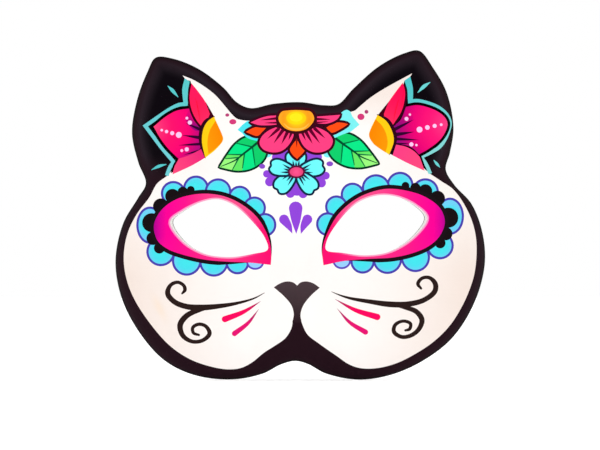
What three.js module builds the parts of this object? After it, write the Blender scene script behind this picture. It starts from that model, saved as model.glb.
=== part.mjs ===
// A soft cat half mask: a printed cover, a moulded foam core and a thin lining, worn with a sewn elastic band.
// Millimetres, +Z up, the face looks along -Y. The origin is the point of the lining between the eyes.
import * as THREE from 'three';
import { ConvexHull } from 'three/addons/math/ConvexHull.js';

// Layers, from the front surface inwards.
const COVER = 0.5;
const CORE = 2.0;
const LINING = 0.5;
const GAP = 0.2; // glue line between two layers
const SHELL = COVER + GAP + CORE + GAP + LINING;
const RIM_PRESS = 0.55; // the layers are pressed to this share of their thickness at the outer rim

// Form of the moulded face.
const FACE_RADIUS = 125; // bend about the upright axis
const BROW_LEAN = 0.0015; // the forehead and ears lean back by this much times the height squared
const CHIN_TUCK = 0.0012;

// Mesh steps.
const EDGE_STEP = 6;
const GRID_STEP = 9;
const ROLL_STEPS = 3; // facets round the rolled outer edge

// Elastic band and its stitching.
const BAND_WIDTH = 10;
const BAND_THICK = 1.0;
const BAND_DROP = 62; // how far the middle of the band hangs from the line through its ends
const BAND_STEPS = 41; // an odd number leaves one flat facet in the middle
const BAND_TILT = THREE.MathUtils.degToRad(35); // the hanging band stands off the upright by this angle
const SEW_Z = -8; // height of the sewn ends
const SEW_IN = 80; // the sewn stretch lies between these distances from the centre line
const SEW_OUT = 90;
const FLEX_X = 88; // where the band leaves its stiff end, and swings
const FLEX_Y = 52;
const FLEX_LAP = 1.6; // the swinging length starts this far in from the sewn end, so that the two slide past
const LAY_GAP = 0.3; // clearance between two pieces of the band
const LINING_GAP = 0.7; // clearance between the band and the facets of the lining
const TACK_IN = 83;
const TACK_OUT = 85.5;
const TACK_HEIGHT = 9;
const TACK_THICK = 0.5;

// Outer edge of the mask: x, z and the radius of the rolled edge, clockwise from the notch under the mouth.
const OUTLINE = [
  [-1, -77.6, 4.5], [-9, -79.6, 5], [-19, -84.7, 5], [-36, -88, 5], [-57, -85.8, 5], [-74, -77.8, 5],
  [-88, -62.6, 5], [-98.4, -43, 5], [-102, -22, 5], [-97.6, -0.8, 5], [-89.2, 13.4, 5], [-84.7, 21.6, 4.5],
  [-89, 33.4, 4.5], [-92.6, 50, 4.5], [-89.6, 69, 4.2], [-84, 84, 3.6], [-79.2, 92.2, 3], [-69.4, 91.5, 3.6],
  [-54.8, 85.5, 4.2], [-41, 75, 4.5], [-33.6, 66.9, 4.5], [-26, 63.6, 4.5], [-13, 66, 4.5], [2, 66.9, 4.5],
  [15, 65.2, 4.5], [23, 65.8, 4.5], [31.4, 74.4, 4.5], [46, 87.2, 4.2], [60.4, 94.6, 3.6], [68.6, 95.9, 3.2],
  [76.2, 86.6, 3.6], [84, 72.6, 4.2], [87.8, 53, 4.5], [85.8, 39, 4.5], [83.4, 29.4, 4.5], [88.2, 20.9, 5],
  [98, 10.2, 5], [104.2, -5.6, 5], [105.6, -24, 5], [99.4, -46, 5], [86.8, -65.4, 5], [69.4, -78.4, 5],
  [51.2, -85.9, 5], [33.6, -88.1, 5], [16, -84.6, 5], [6, -79.3, 5],
];

// Eye openings: x, z, clockwise from the outer corner.
const LEFT_EYE = [
  [-71, 0.2], [-64, 6.2], [-52, 11.6], [-43.6, 12.6], [-34.6, 9], [-24.8, 0.2], [-17.8, -9],
  [-16.3, -15.4], [-24, -17.7], [-38, -19.6], [-53, -17.4], [-64.4, -10.4],
];
const RIGHT_EYE = [
  [73, 2.4], [66.4, -7.6], [53, -16.2], [39, -18.6], [25, -17.2], [16.3, -15.6], [16.6, -10.6],
  [23.4, 0.6], [33.6, 10.6], [45, 14.8], [55.4, 14.2], [66, 9.6],
];

const bell = (offset, width) => Math.exp(-((offset / width) ** 2));

// How far the front surface lies behind the foremost plane of the bend.
function rawDepth(x, z) {
  const lean = z > 0 ? BROW_LEAN : CHIN_TUCK;
  let y = FACE_RADIUS - Math.sqrt(FACE_RADIUS ** 2 - x * x) + lean * z * z;
  y -= 6 * bell(x, 12) * bell(z + 8, 26); // bridge of the nose
  y -= 8 * bell(x, 13) * bell(z + 37, 14); // tip of the nose
  for (const side of [-1, 1]) {
    y -= 9 * bell(x - side * 28, 24) * bell(z + 57, 20); // muzzle
    y -= 3 * bell(x - side * 44, 26) * bell(z - 24, 9); // brow
    y += 3 * bell(x - side * 44, 30) * bell(z + 3, 15); // eye socket
    y += 6 * bell(x - side * 62, 15) * bell(z - 60, 17); // dished ear
  }
  return y;
}
const REST_DEPTH = rawDepth(0, 0) + SHELL;
const depth = (x, z) => rawDepth(x, z) - REST_DEPTH;

// A point on the front surface, and the outward direction there. roll is null away from the rolled edge.
function surface(x, z, roll = null) {
  const step = 0.05;
  const slopeX = (depth(x + step, z) - depth(x - step, z)) / (2 * step);
  const slopeZ = (depth(x, z + step) - depth(x, z - step)) / (2 * step);
  const point = new THREE.Vector3(x, depth(x, z), z);
  const normal = new THREE.Vector3(slopeX, -1, slopeZ).normalize();
  let press = 1;
  if (roll) {
    const turn = (roll.share * Math.PI) / 2; // 0 where the roll starts, a right angle at the edge
    point.y += roll.radius * (1 - Math.cos(turn));
    const level = Math.atan(Math.hypot(slopeX, slopeZ));
    const out = new THREE.Vector3(roll.out.x, 0, roll.out.y);
    normal.multiplyScalar(Math.cos(turn)).addScaledVector(out, Math.sin(turn) * Math.cos(level / 2)).normalize();
    press = 1 - (1 - RIM_PRESS) * roll.share;
  }
  return { point, normal, press };
}

// A closed smooth line through hand-set points, as evenly spaced points with their outward directions.
function smoothLoop(rows, step) {
  const nodes = rows.map(([x, z, radius = 0]) => new THREE.Vector3(x, radius, z));
  const curve = new THREE.CatmullRomCurve3(nodes, true, 'centripetal');
  curve.arcLengthDivisions = 1200;
  const count = Math.round(curve.getLength() / step);
  return Array.from({ length: count }, (_, i) => {
    const at = curve.getPointAt(i / count);
    const along = curve.getTangentAt(i / count);
    return { x: at.x, z: at.z, radius: at.y, out: new THREE.Vector2(-along.z, along.x).normalize() };
  });
}

const outer = smoothLoop(OUTLINE, EDGE_STEP);
const openings = [smoothLoop(LEFT_EYE, EDGE_STEP), smoothLoop(RIGHT_EYE, EDGE_STEP)];

// The rolled edge starts at its radius in from the outline, and runs out to it.
function rollRing(share) {
  return outer.map(({ x, z, radius, out }) => {
    const inset = radius * (1 - Math.sin((share * Math.PI) / 2));
    return { x: x - out.x * inset, z: z - out.y * inset, roll: share > 0 ? { radius, share, out } : null };
  });
}

function insideLoop(loop, x, z) {
  let inside = false;
  loop.forEach((a, i) => {
    const b = loop[(i + 1) % loop.length];
    if (a.z > z !== b.z > z && x < ((b.x - a.x) * (z - a.z)) / (b.z - a.z) + a.x) inside = !inside;
  });
  return inside;
}
const nearLoop = (loop, x, z, reach) => loop.some((p) => Math.hypot(p.x - x, p.z - z) < reach);

// The flat pattern of the shell: rings of points for the rolled edge, then a field of triangles within them.
function makePattern() {
  const rings = Array.from({ length: ROLL_STEPS + 1 }, (_, i) => rollRing(1 - i / ROLL_STEPS));
  const field = rings[ROLL_STEPS];
  const points = rings.flat();
  const first = points.length - field.length;
  openings.forEach((loop) => points.push(...loop.map(({ x, z }) => ({ x, z, roll: null }))));
  const loops = [field, ...openings];
  const rowHeight = GRID_STEP * Math.sqrt(0.75);
  for (let row = -12; row <= 13; row += 1) {
    for (let column = -12; column <= 12; column += 1) {
      // a slight uneven shift keeps four points from ever lying on one circle
      const x = (column + (row % 2) / 2) * GRID_STEP + 0.2 * Math.sin(7 * row + 3 * column);
      const z = row * rowHeight + 0.2 * Math.sin(5 * column + row);
      const within = insideLoop(field, x, z) && !openings.some((loop) => insideLoop(loop, x, z));
      if (within && !loops.some((loop) => nearLoop(loop, x, z, GRID_STEP * 0.6))) points.push({ x, z, roll: null });
    }
  }
  // The lower side of the hull of points lifted on to a bowl is the best triangulation of the flat points.
  const size = 100;
  const lifted = points.slice(first).map(({ x, z }, i) => {
    const p = new THREE.Vector3(x / size, z / size, (x * x + z * z) / size ** 2);
    p.index = i + first;
    return p;
  });
  const triangles = [];
  for (const face of new ConvexHull().setFromPoints(lifted).faces) {
    if (face.normal.z > -1e-9) continue;
    const corners = [0, 1, 2].map((i) => face.getEdge(i).head().point.index);
    const x = corners.reduce((sum, i) => sum + points[i].x, 0) / 3;
    const z = corners.reduce((sum, i) => sum + points[i].z, 0) / 3;
    const within = insideLoop(field, x, z) && !openings.some((loop) => insideLoop(loop, x, z));
    if (within) triangles.push(corners);
  }
  for (let ring = 0; ring < ROLL_STEPS; ring += 1) {
    for (let i = 0; i < outer.length; i += 1) {
      const next = (i + 1) % outer.length;
      const [a, b] = [ring * outer.length + i, ring * outer.length + next];
      const [c, d] = [a + outer.length, b + outer.length];
      triangles.push([a, c, b], [b, c, d]);
    }
  }
  return { points, triangles };
}

// One closed layer of the shell between two depths under the front surface.
function layer({ points, triangles }, top, bottom) {
  const seats = points.map(({ x, z, roll }) => surface(x, z, roll));
  const under = (amount) => seats.map(({ point, normal, press }) => (
    point.clone().addScaledVector(normal, -amount * press)
  ));
  const vertices = [...under(top), ...under(bottom)];
  const faces = [];
  const uses = new Map();
  for (const corners of triangles) {
    const [a, b, c] = corners.map((i) => points[i]);
    const clockwise = (b.x - a.x) * (c.z - a.z) - (b.z - a.z) * (c.x - a.x) < 0;
    const [p, q, r] = clockwise ? [corners[0], corners[2], corners[1]] : corners;
    faces.push([p, q, r], [p + points.length, r + points.length, q + points.length]);
    for (const [from, to] of [[p, q], [q, r], [r, p]]) {
      if (!uses.delete(`${to} ${from}`)) uses.set(`${from} ${to}`, [from, to]);
    }
  }
  for (const [from, to] of uses.values()) {
    faces.push([to, from, from + points.length], [to, from + points.length, to + points.length]);
  }
  return solid(vertices, faces);
}

function solid(vertices, faces) {
  const geometry = new THREE.BufferGeometry();
  geometry.setAttribute('position', new THREE.Float32BufferAttribute(vertices.flatMap((v) => v.toArray()), 3));
  geometry.setIndex(faces.flat());
  geometry.computeVertexNormals();
  return geometry;
}

// A point at a height over the back of the lining. side is -1 on the left and 1 on the right.
function overLining(side, x, z, height) {
  const { point, normal } = surface(side * x, z);
  return point.addScaledVector(normal, -(SHELL + height));
}

// The sewn end of the band: flat on the lining, then bent straight back to the flex line.
function strapTail(side) {
  const middle = LINING_GAP + BAND_THICK / 2;
  const [steps, across] = [10, 2];
  const lineAt = (z) => new THREE.CatmullRomCurve3([
    ...[0, 0.33, 0.67, 1].map((share) => overLining(side, THREE.MathUtils.lerp(SEW_IN, SEW_OUT, share), z, middle)),
    new THREE.Vector3(side * (FLEX_X + 0.3), FLEX_Y - 4, z),
    new THREE.Vector3(side * FLEX_X, FLEX_Y + 1, z),
  ], false, 'centripetal');
  const corner = (i, j, over) => {
    const line = lineAt(SEW_Z + BAND_WIDTH * (j / across - 0.5));
    const along = line.getTangentAt(i / steps);
    const face = new THREE.Vector3(-along.y, along.x, 0).normalize();
    return line.getPointAt(i / steps).addScaledVector(face, (over * side * BAND_THICK) / 2);
  };
  return grid(steps, across, (i, j) => corner(i, j, -1), (i, j) => corner(i, j, 1), side > 0);
}

// The bar of stitches, lying on the sewn end.
function bartack(side) {
  const [across, up] = [1, 4];
  const corner = (i, j, height) => (
    overLining(side, THREE.MathUtils.lerp(TACK_IN, TACK_OUT, i), SEW_Z + TACK_HEIGHT * (j / up - 0.5), height)
  );
  const low = LINING_GAP + BAND_THICK + LAY_GAP;
  return grid(across, up, (i, j) => corner(i, j, low), (i, j) => corner(i, j, low + TACK_THICK), side > 0);
}

// A closed slab from two grids of points, one over the other.
function grid(columns, rows, upper, lower, flip) {
  const vertices = [];
  for (const sheet of [upper, lower]) {
    for (let i = 0; i <= columns; i += 1) {
      for (let j = 0; j <= rows; j += 1) vertices.push(sheet(i, j));
    }
  }
  const at = (i, j, sheet) => sheet * (columns + 1) * (rows + 1) + i * (rows + 1) + j;
  const faces = [];
  const quad = (a, b, c, d) => faces.push(...(flip ? [[a, b, c], [a, c, d]] : [[a, c, b], [a, d, c]]));
  for (let i = 0; i < columns; i += 1) {
    for (let j = 0; j < rows; j += 1) {
      quad(at(i, j, 0), at(i + 1, j, 0), at(i + 1, j + 1, 0), at(i, j + 1, 0));
      quad(at(i, j, 1), at(i, j + 1, 1), at(i + 1, j + 1, 1), at(i + 1, j, 1));
    }
  }
  for (let i = 0; i < columns; i += 1) {
    quad(at(i, 0, 0), at(i, 0, 1), at(i + 1, 0, 1), at(i + 1, 0, 0));
    quad(at(i, rows, 0), at(i + 1, rows, 0), at(i + 1, rows, 1), at(i, rows, 1));
  }
  for (let j = 0; j < rows; j += 1) {
    quad(at(0, j, 0), at(0, j + 1, 0), at(0, j + 1, 1), at(0, j, 1));
    quad(at(columns, j, 0), at(columns, j, 1), at(columns, j + 1, 1), at(columns, j + 1, 0));
  }
  return solid(vertices, faces);
}

// The swinging length of the band: straight back from both flex lines, then a hanging curve that leans back.
function elasticStrap() {
  const hang = new THREE.Vector3(0, Math.sin(BAND_TILT), -Math.cos(BAND_TILT));
  const reach = FLEX_X - FLEX_LAP;
  const end = (side) => [
    new THREE.Vector3(side * reach, FLEX_Y - 1, SEW_Z),
    new THREE.Vector3(side * reach, FLEX_Y + 4, SEW_Z - 0.2),
  ];
  const shares = [-0.93, -0.75, -0.5, -0.25, 0, 0.25, 0.5, 0.75, 0.93];
  const path = new THREE.CatmullRomCurve3([
    ...end(-1),
    ...shares.map((share) => (
      new THREE.Vector3(share * reach, FLEX_Y + 6, SEW_Z).addScaledVector(hang, BAND_DROP * (1 - share ** 2))
    )),
    ...end(1).reverse(),
  ], false, 'centripetal');
  const across = new THREE.Vector3(0, Math.cos(BAND_TILT), Math.sin(BAND_TILT));
  const frames = Array.from({ length: BAND_STEPS + 1 }, (_, i) => {
    const share = i / BAND_STEPS;
    const along = path.getTangentAt(share);
    const twist = THREE.MathUtils.smoothstep(Math.min(share, 1 - share), 0.03, 0.28);
    const width = new THREE.Vector3(0, 0, 1).lerp(across, twist);
    width.addScaledVector(along, -width.dot(along)).normalize();
    return { centre: path.getPointAt(share), width, face: new THREE.Vector3().crossVectors(along, width) };
  });
  const corner = (i, j, side) => frames[i].centre.clone()
    .addScaledVector(frames[i].width, BAND_WIDTH * (j / 2 - 0.5))
    .addScaledVector(frames[i].face, (side * BAND_THICK) / 2);
  return grid(BAND_STEPS, 2, (i, j) => corner(i, j, 1), (i, j) => corner(i, j, -1), true);
}

function piece(name, geometry, color, roughness) {
  const mesh = new THREE.Mesh(geometry, new THREE.MeshStandardMaterial({ color, roughness, metalness: 0 }));
  mesh.name = name;
  return mesh;
}

const pattern = makePattern();
const coreTop = COVER + GAP;
const liningTop = coreTop + CORE + GAP;
const mask = new THREE.Group();
mask.add(
  piece('printed_cover', layer(pattern, 0, COVER), 0xfbf4ef, 0.6),
  piece('foam_core', layer(pattern, coreTop, coreTop + CORE), 0xfaf8f4, 0.9),
  piece('back_lining', layer(pattern, liningTop, SHELL), 0x3a3436, 0.9),
  piece('elastic_strap', elasticStrap(), 0x1c1a1c, 0.8),
);
for (const [side, name] of [[-1, 'left'], [1, 'right']]) {
  mask.add(
    piece(`${name}_strap_tail`, strapTail(side), 0x1c1a1c, 0.8),
    piece(`${name}_bartack`, bartack(side), 0x0c0b0c, 0.7),
  );
}

export default mask;
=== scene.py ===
"""A cat half mask: printed knit over moulded foam, a thin lining, and a sewn elastic band.

Lengths are in millimetres until a mesh is made; mesh coordinates are in metres. The face looks along -Y.
"""
import math

import bmesh
import bpy
import numpy as np
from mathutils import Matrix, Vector
from mathutils.geometry import delaunay_2d_cdt


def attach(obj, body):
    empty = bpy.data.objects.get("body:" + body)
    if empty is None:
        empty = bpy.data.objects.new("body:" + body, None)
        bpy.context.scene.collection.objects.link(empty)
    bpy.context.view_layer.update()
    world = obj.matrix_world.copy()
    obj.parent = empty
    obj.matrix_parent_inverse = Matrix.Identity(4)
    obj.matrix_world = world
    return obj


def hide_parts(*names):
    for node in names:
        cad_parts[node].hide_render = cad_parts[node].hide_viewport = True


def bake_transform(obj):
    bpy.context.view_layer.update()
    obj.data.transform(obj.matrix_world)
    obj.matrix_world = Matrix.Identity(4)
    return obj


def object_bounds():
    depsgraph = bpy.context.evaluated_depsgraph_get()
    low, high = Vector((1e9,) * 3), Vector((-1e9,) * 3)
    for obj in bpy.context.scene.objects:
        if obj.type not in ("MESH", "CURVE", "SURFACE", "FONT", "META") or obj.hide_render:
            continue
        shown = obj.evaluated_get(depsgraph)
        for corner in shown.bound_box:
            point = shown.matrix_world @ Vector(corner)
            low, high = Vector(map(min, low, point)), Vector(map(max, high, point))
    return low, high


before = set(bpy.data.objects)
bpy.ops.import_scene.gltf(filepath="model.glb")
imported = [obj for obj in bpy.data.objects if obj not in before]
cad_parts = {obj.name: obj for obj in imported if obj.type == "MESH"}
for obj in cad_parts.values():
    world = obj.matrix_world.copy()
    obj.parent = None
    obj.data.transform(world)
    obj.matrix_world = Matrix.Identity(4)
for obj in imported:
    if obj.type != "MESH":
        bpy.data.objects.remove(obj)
cad_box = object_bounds()

MM = 0.001

# ---------------------------------------------------------------- camera, lights and floor

VIEW_WIDTH = 336.0  # how much of the mask's plane the picture spans
VIEW_CENTRE = (1.7, -1.7)
CAMERA_DISTANCE = 7000.0
MASK_PLANE = 35.0  # the outer edge of the mask lies about this far behind the bridge of the nose
FLOOR_GAP = 0.5
FLOOR_HALF = 8.0  # metres
LIGHT_AIM = (0, 0.03, 0)


def linear(colour):
    """A screen colour from 0 to 255 as linear light."""
    c = np.asarray(colour, float) / 255
    return np.where(c <= 0.04045, c / 12.92, ((c + 0.055) / 1.055) ** 2.4)


def make_camera():
    data = bpy.data.cameras.new("camera")
    data.sensor_width = 36
    data.lens = data.sensor_width * (CAMERA_DISTANCE + MASK_PLANE) / VIEW_WIDTH
    data.clip_start, data.clip_end = 0.05, 30
    camera = bpy.data.objects.new("camera", data)
    bpy.context.scene.collection.objects.link(camera)
    camera.location = Vector((VIEW_CENTRE[0], -CAMERA_DISTANCE, VIEW_CENTRE[1])) * MM
    camera.rotation_euler = (math.pi / 2, 0, 0)
    bpy.context.scene.camera = camera


def area_light(name, stand, size, power, colour=(1, 1, 1)):
    data = bpy.data.lights.new(name, "AREA")
    data.shape, data.size, data.energy, data.color = "DISK", size, power, colour
    light = bpy.data.objects.new(name, data)
    bpy.context.scene.collection.objects.link(light)
    light.location = stand
    aim = Vector(LIGHT_AIM) - Vector(stand)
    light.rotation_euler = aim.to_track_quat("-Z", "Y").to_euler()


def make_studio():
    scene = bpy.context.scene
    scene.view_settings.view_transform = "Standard"
    world = bpy.data.worlds.new("studio")
    scene.world = world
    world.use_nodes = True
    background = world.node_tree.nodes["Background"]
    background.inputs["Color"].default_value = (1, 1, 1, 1)
    background.inputs["Strength"].default_value = 1.0
    area_light("key", (-0.35, -1.3, 0.9), 0.9, 1.5, (1, 0.99, 0.97))
    area_light("fill", (0.9, -0.9, 0.1), 0.9, 0.3)
    area_light("rim", (0.2, 1.2, 0.9), 0.8, 1.5)


def make_floor():
    low = cad_box[0][2] - FLOOR_GAP * MM
    half = FLOOR_HALF
    mesh = bpy.data.meshes.new("floor")
    corners = [(-half, -half, low), (half, -half, low), (half, half, low), (-half, half, low)]
    mesh.from_pydata(corners, [], [(0, 1, 2, 3)])
    floor = bpy.data.objects.new("floor", mesh)
    bpy.context.scene.collection.objects.link(floor)
    material = bpy.data.materials.new("pale_floor")
    material.use_nodes = True
    shader = material.node_tree.nodes["Principled BSDF"]
    shader.inputs["Base Color"].default_value = (0.95, 0.95, 0.95, 1)
    shader.inputs["Roughness"].default_value = 0.9
    shader.inputs["Specular IOR Level"].default_value = 0.1
    shader.inputs["Emission Color"].default_value = (1, 1, 1, 1)
    shader.inputs["Emission Strength"].default_value = 0.3
    mesh.materials.append(material)


make_camera()
make_studio()
make_floor()

# ---------------------------------------------------------------- form of the shell

COVER = 0.5
CORE = 2.0
LINING = 0.5
GAP = 0.2  # glue line between two layers
SHELL = COVER + GAP + CORE + GAP + LINING
RIM_PRESS = 0.55  # the layers are pressed to this share of their thickness at the outer rim
FACE_RADIUS = 125.0  # bend about the upright axis
BROW_LEAN = 0.0015  # the forehead and ears lean back by this much times the height squared
CHIN_TUCK = 0.0012
GLUE = 0.02  # what is left open between two layers of the finished laminate

# Outer edge: x, z and the radius of the rolled edge.
OUTLINE = [
    (-1, -77.6, 4.5), (-9, -79.6, 5), (-19, -84.7, 5), (-36, -88, 5), (-57, -85.8, 5), (-74, -77.8, 5),
    (-88, -62.6, 5), (-98.4, -43, 5), (-102, -22, 5), (-97.6, -0.8, 5), (-89.2, 13.4, 5),
    (-84.7, 21.6, 4.5), (-89, 33.4, 4.5), (-92.6, 50, 4.5), (-89.6, 69, 4.2), (-84, 84, 3.6),
    (-79.2, 92.2, 3), (-69.4, 91.5, 3.6), (-54.8, 85.5, 4.2), (-41, 75, 4.5), (-33.6, 66.9, 4.5),
    (-26, 63.6, 4.5), (-13, 66, 4.5), (2, 66.9, 4.5), (15, 65.2, 4.5), (23, 65.8, 4.5),
    (31.4, 74.4, 4.5), (46, 87.2, 4.2), (60.4, 94.6, 3.6), (68.6, 95.9, 3.2), (76.2, 86.6, 3.6),
    (84, 72.6, 4.2), (87.8, 53, 4.5), (85.8, 39, 4.5), (83.4, 29.4, 4.5), (88.2, 20.9, 5),
    (98, 10.2, 5), (104.2, -5.6, 5), (105.6, -24, 5), (99.4, -46, 5), (86.8, -65.4, 5),
    (69.4, -78.4, 5), (51.2, -85.9, 5), (33.6, -88.1, 5), (16, -84.6, 5), (6, -79.3, 5),
]
LEFT_EYE = [
    (-71, 0.2), (-64, 6.2), (-52, 11.6), (-43.6, 12.6), (-34.6, 9), (-24.8, 0.2), (-17.8, -9),
    (-16.3, -15.4), (-24, -17.7), (-38, -19.6), (-53, -17.4), (-64.4, -10.4),
]
RIGHT_EYE = [
    (73, 2.4), (66.4, -7.6), (53, -16.2), (39, -18.6), (25, -17.2), (16.3, -15.6), (16.6, -10.6),
    (23.4, 0.6), (33.6, 10.6), (45, 14.8), (55.4, 14.2), (66, 9.6),
]


# Soft swells of the moulded face, mirrored where they stand off the middle:
# how far each pushes forward, its x and width, its z and height.
SWELLS = [
    (6, 0, 12, -8, 26),  # bridge of the nose
    (8, 0, 13, -37, 14),  # tip of the nose
    (9, 28, 24, -57, 20),  # muzzle
    (3, 44, 26, 24, 9),  # brow
    (-3, 44, 30, -3, 15),  # eye socket
    (-6, 62, 15, 60, 17),  # hollow of the ear
]


def bell(offset, width):
    return np.exp(-((offset / width) ** 2))


def raw_depth(x, z):
    lean = np.where(z > 0, BROW_LEAN, CHIN_TUCK)
    y = FACE_RADIUS - np.sqrt(FACE_RADIUS**2 - x * x) + lean * z * z
    for push, at_x, wide, at_z, high in SWELLS:
        for side in (-1, 1) if at_x else (1,):
            y = y - push * bell(x - side * at_x, wide) * bell(z - at_z, high)
    return y


REST_DEPTH = float(raw_depth(np.float64(0), np.float64(0))) + SHELL


def smooth(points, closed=True, step=0.8, measured=2):
    """Evenly spaced points of the centripetal curve through a few given ones.

    Length is measured over the first columns only; the others, such as a width, just follow.
    """
    p = np.array(points, float)
    p = np.vstack([p[-1:], p, p[:2]]) if closed else np.vstack([2 * p[0] - p[1], p, 2 * p[-1] - p[-2]])
    runs = []
    for a, b, c, d in zip(p, p[1:], p[2:], p[3:]):
        pairs = ((b, a), (c, b), (d, c))
        gaps = [max(np.linalg.norm(e[:measured] - f[:measured]), 1e-6) ** 0.5 for e, f in pairs]
        t0, t1, t2, t3 = np.cumsum([0, *gaps])
        t = np.linspace(t1, t2, 24, endpoint=False)[:, None]
        one = a * (t1 - t) / (t1 - t0) + b * (t - t0) / (t1 - t0)
        two = b * (t2 - t) / (t2 - t1) + c * (t - t1) / (t2 - t1)
        three = c * (t3 - t) / (t3 - t2) + d * (t - t2) / (t3 - t2)
        low = one * (t2 - t) / (t2 - t0) + two * (t - t0) / (t2 - t0)
        high = two * (t3 - t) / (t3 - t1) + three * (t - t1) / (t3 - t1)
        runs.append(low * (t2 - t) / (t2 - t1) + high * (t - t1) / (t2 - t1))
    fine = np.vstack([*runs, p[-2:-1] if not closed else runs[0][:1]])
    along = np.concatenate([[0], np.cumsum(np.linalg.norm(np.diff(fine[:, :measured], axis=0), axis=1))])
    count = max(3, int(round(along[-1] / step)))
    at = np.linspace(0, along[-1], count + 1)
    if closed:
        at = at[:-1]
    return np.stack([np.interp(at, along, fine[:, k]) for k in range(fine.shape[1])], axis=1)


def outward(loop):
    """Outward directions of a closed clockwise loop in the plane."""
    along = np.roll(loop, -1, axis=0) - np.roll(loop, 1, axis=0)
    out = np.stack([-along[:, 1], along[:, 0]], axis=1)
    return out / np.linalg.norm(out, axis=1, keepdims=True)


EDGE = smooth(OUTLINE, step=0.5)
EDGE_OUT = outward(EDGE[:, :2])
OPENINGS = [smooth(LEFT_EYE, step=0.7), smooth(RIGHT_EYE, step=0.7)]


BATCH = 4000  # points that are compared with a whole outline at a time


def nearest_edge(points):
    """How far in from the outer edge each flat point is, with the edge's roll radius and direction."""
    points = np.asarray(points, float)
    pick = np.empty(len(points), int)
    for i in range(0, len(points), BATCH):
        part = points[i:i + BATCH]
        gap = ((part[:, None, :] - EDGE[None, :, :2]) ** 2).sum(axis=2)
        pick[i:i + BATCH] = gap.argmin(axis=1)
    inset = ((EDGE[pick, :2] - points) * EDGE_OUT[pick]).sum(axis=1)
    return np.maximum(inset, 0), EDGE[pick, 2], EDGE_OUT[pick]


def shell_points(points):
    """The front surface over flat points: place, outward direction and share of full thickness."""
    x, z = points[:, 0], points[:, 1]
    inset, radius, out = nearest_edge(points)
    step = 0.05
    slope_x = (raw_depth(x + step, z) - raw_depth(x - step, z)) / (2 * step)
    slope_z = (raw_depth(x, z + step) - raw_depth(x, z - step)) / (2 * step)
    turn = np.arcsin(np.clip(1 - inset / radius, 0, 1))
    y = raw_depth(x, z) - REST_DEPTH + radius * (1 - np.cos(turn))
    normal = np.stack([slope_x, -np.ones_like(x), slope_z], axis=1)
    level = np.arctan(np.hypot(slope_x, slope_z))
    normal /= np.linalg.norm(normal, axis=1, keepdims=True)
    side = np.stack([out[:, 0], np.zeros_like(x), out[:, 1]], axis=1)
    normal = normal * np.cos(turn)[:, None] + side * (np.sin(turn) * np.cos(level / 2))[:, None]
    normal /= np.linalg.norm(normal, axis=1, keepdims=True)
    press = 1 - (1 - RIM_PRESS) * turn / (math.pi / 2)
    return np.stack([x, y, z], axis=1), normal, press


# ---------------------------------------------------------------- drawing tools of the print

PRINT = []  # the print from its lowest layer up: closed outline, and its colour or a function of x and z


def lay(points, paint):
    PRINT.append((np.array(points, float)[:, :2], paint))


def run(*stretches, step=0.7):
    """A closed outline of smooth stretches and of stretches of one or two corner points."""
    rows = [smooth(s, closed=False, step=step) if len(s) > 2 else np.array(s, float) for s in stretches]
    rows = np.vstack(rows)
    gaps = np.linalg.norm(rows - np.roll(rows, 1, axis=0), axis=1)
    return rows[gaps > 1e-3]


def grow(points, amount):
    """A closed outline moved out by one amount, or by one amount for each point."""
    points = np.array(points, float)
    after = np.roll(points, -1, axis=0)
    doubled = np.dot(points[:, 0], after[:, 1]) - np.dot(points[:, 1], after[:, 0])
    direction = outward(points) * (1 if doubled < 0 else -1)
    return points + direction * np.broadcast_to(amount, len(points))[:, None]


def disc(x, z, rx, rz=None, step=0.7):
    rz = rx if rz is None else rz
    count = max(12, int(2 * math.pi * max(rx, rz) / step))
    a = np.linspace(0, 2 * math.pi, count, endpoint=False)
    return np.stack([x + rx * np.cos(a), z + rz * np.sin(a)], axis=1)


def inked(points, paint, line, width):
    """A filled shape with a line round its outside."""
    lay(grow(points, width), line)
    lay(points, paint)


def stroke(points, widths, step=0.6):
    """A brush line: smooth through its points, with a width at each, and a round end where it is wide."""
    rows = smooth([(x, z, w) for (x, z), w in zip(points, widths)], closed=False, step=step)
    line, half = rows[:, :2], np.maximum(rows[:, 2], 0.05) / 2
    along = np.gradient(line, axis=0)
    along /= np.linalg.norm(along, axis=1, keepdims=True)
    side = np.stack([-along[:, 1], along[:, 0]], axis=1)
    left, right = line + side * half[:, None], line - side * half[:, None]

    def cap(i, sign):
        a = np.linspace(0, math.pi, 9)[1:-1, None]
        return line[i] + half[i] * (np.cos(a) * side[i] * sign + np.sin(a) * along[i] * sign)

    return np.vstack([left, cap(-1, 1), right[::-1], cap(0, -1)])


def taper(start, end, thick):
    """A straight wedge from a thick start to a thin end."""
    middle = ((start[0] + end[0]) / 2, (start[1] + end[1]) / 2)
    return stroke([start, middle, end], [thick, thick * 0.66, 0.1])


def ribbon(width, *stretches):
    """An even line along smooth stretches, with sharp corners where they meet."""
    rows = run(*stretches)
    along = np.diff(rows, axis=0)
    along /= np.linalg.norm(along, axis=1, keepdims=True)
    before, after = np.vstack([along[:1], along]), np.vstack([along, along[-1:]])
    middle = before + after
    middle /= np.linalg.norm(middle, axis=1, keepdims=True)
    reach = width / 2 / np.maximum((middle * before).sum(axis=1, keepdims=True), 0.4)
    side = np.stack([-middle[:, 1], middle[:, 0]], axis=1) * reach
    return np.vstack([rows + side, (rows - side)[::-1]])


def drop(tip, centre, radius, bend=0.0):
    """A drop with a sharp tip and a round end; bend bows it to one side."""
    tip, centre = np.array(tip, float), np.array(centre, float)
    axis = centre - tip
    side = np.array([-axis[1], axis[0]]) / np.linalg.norm(axis)
    middle = (tip + centre) / 2 + side * bend
    return stroke([tip, middle, centre], [0.1, radius * 1.3, radius * 2])


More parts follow.
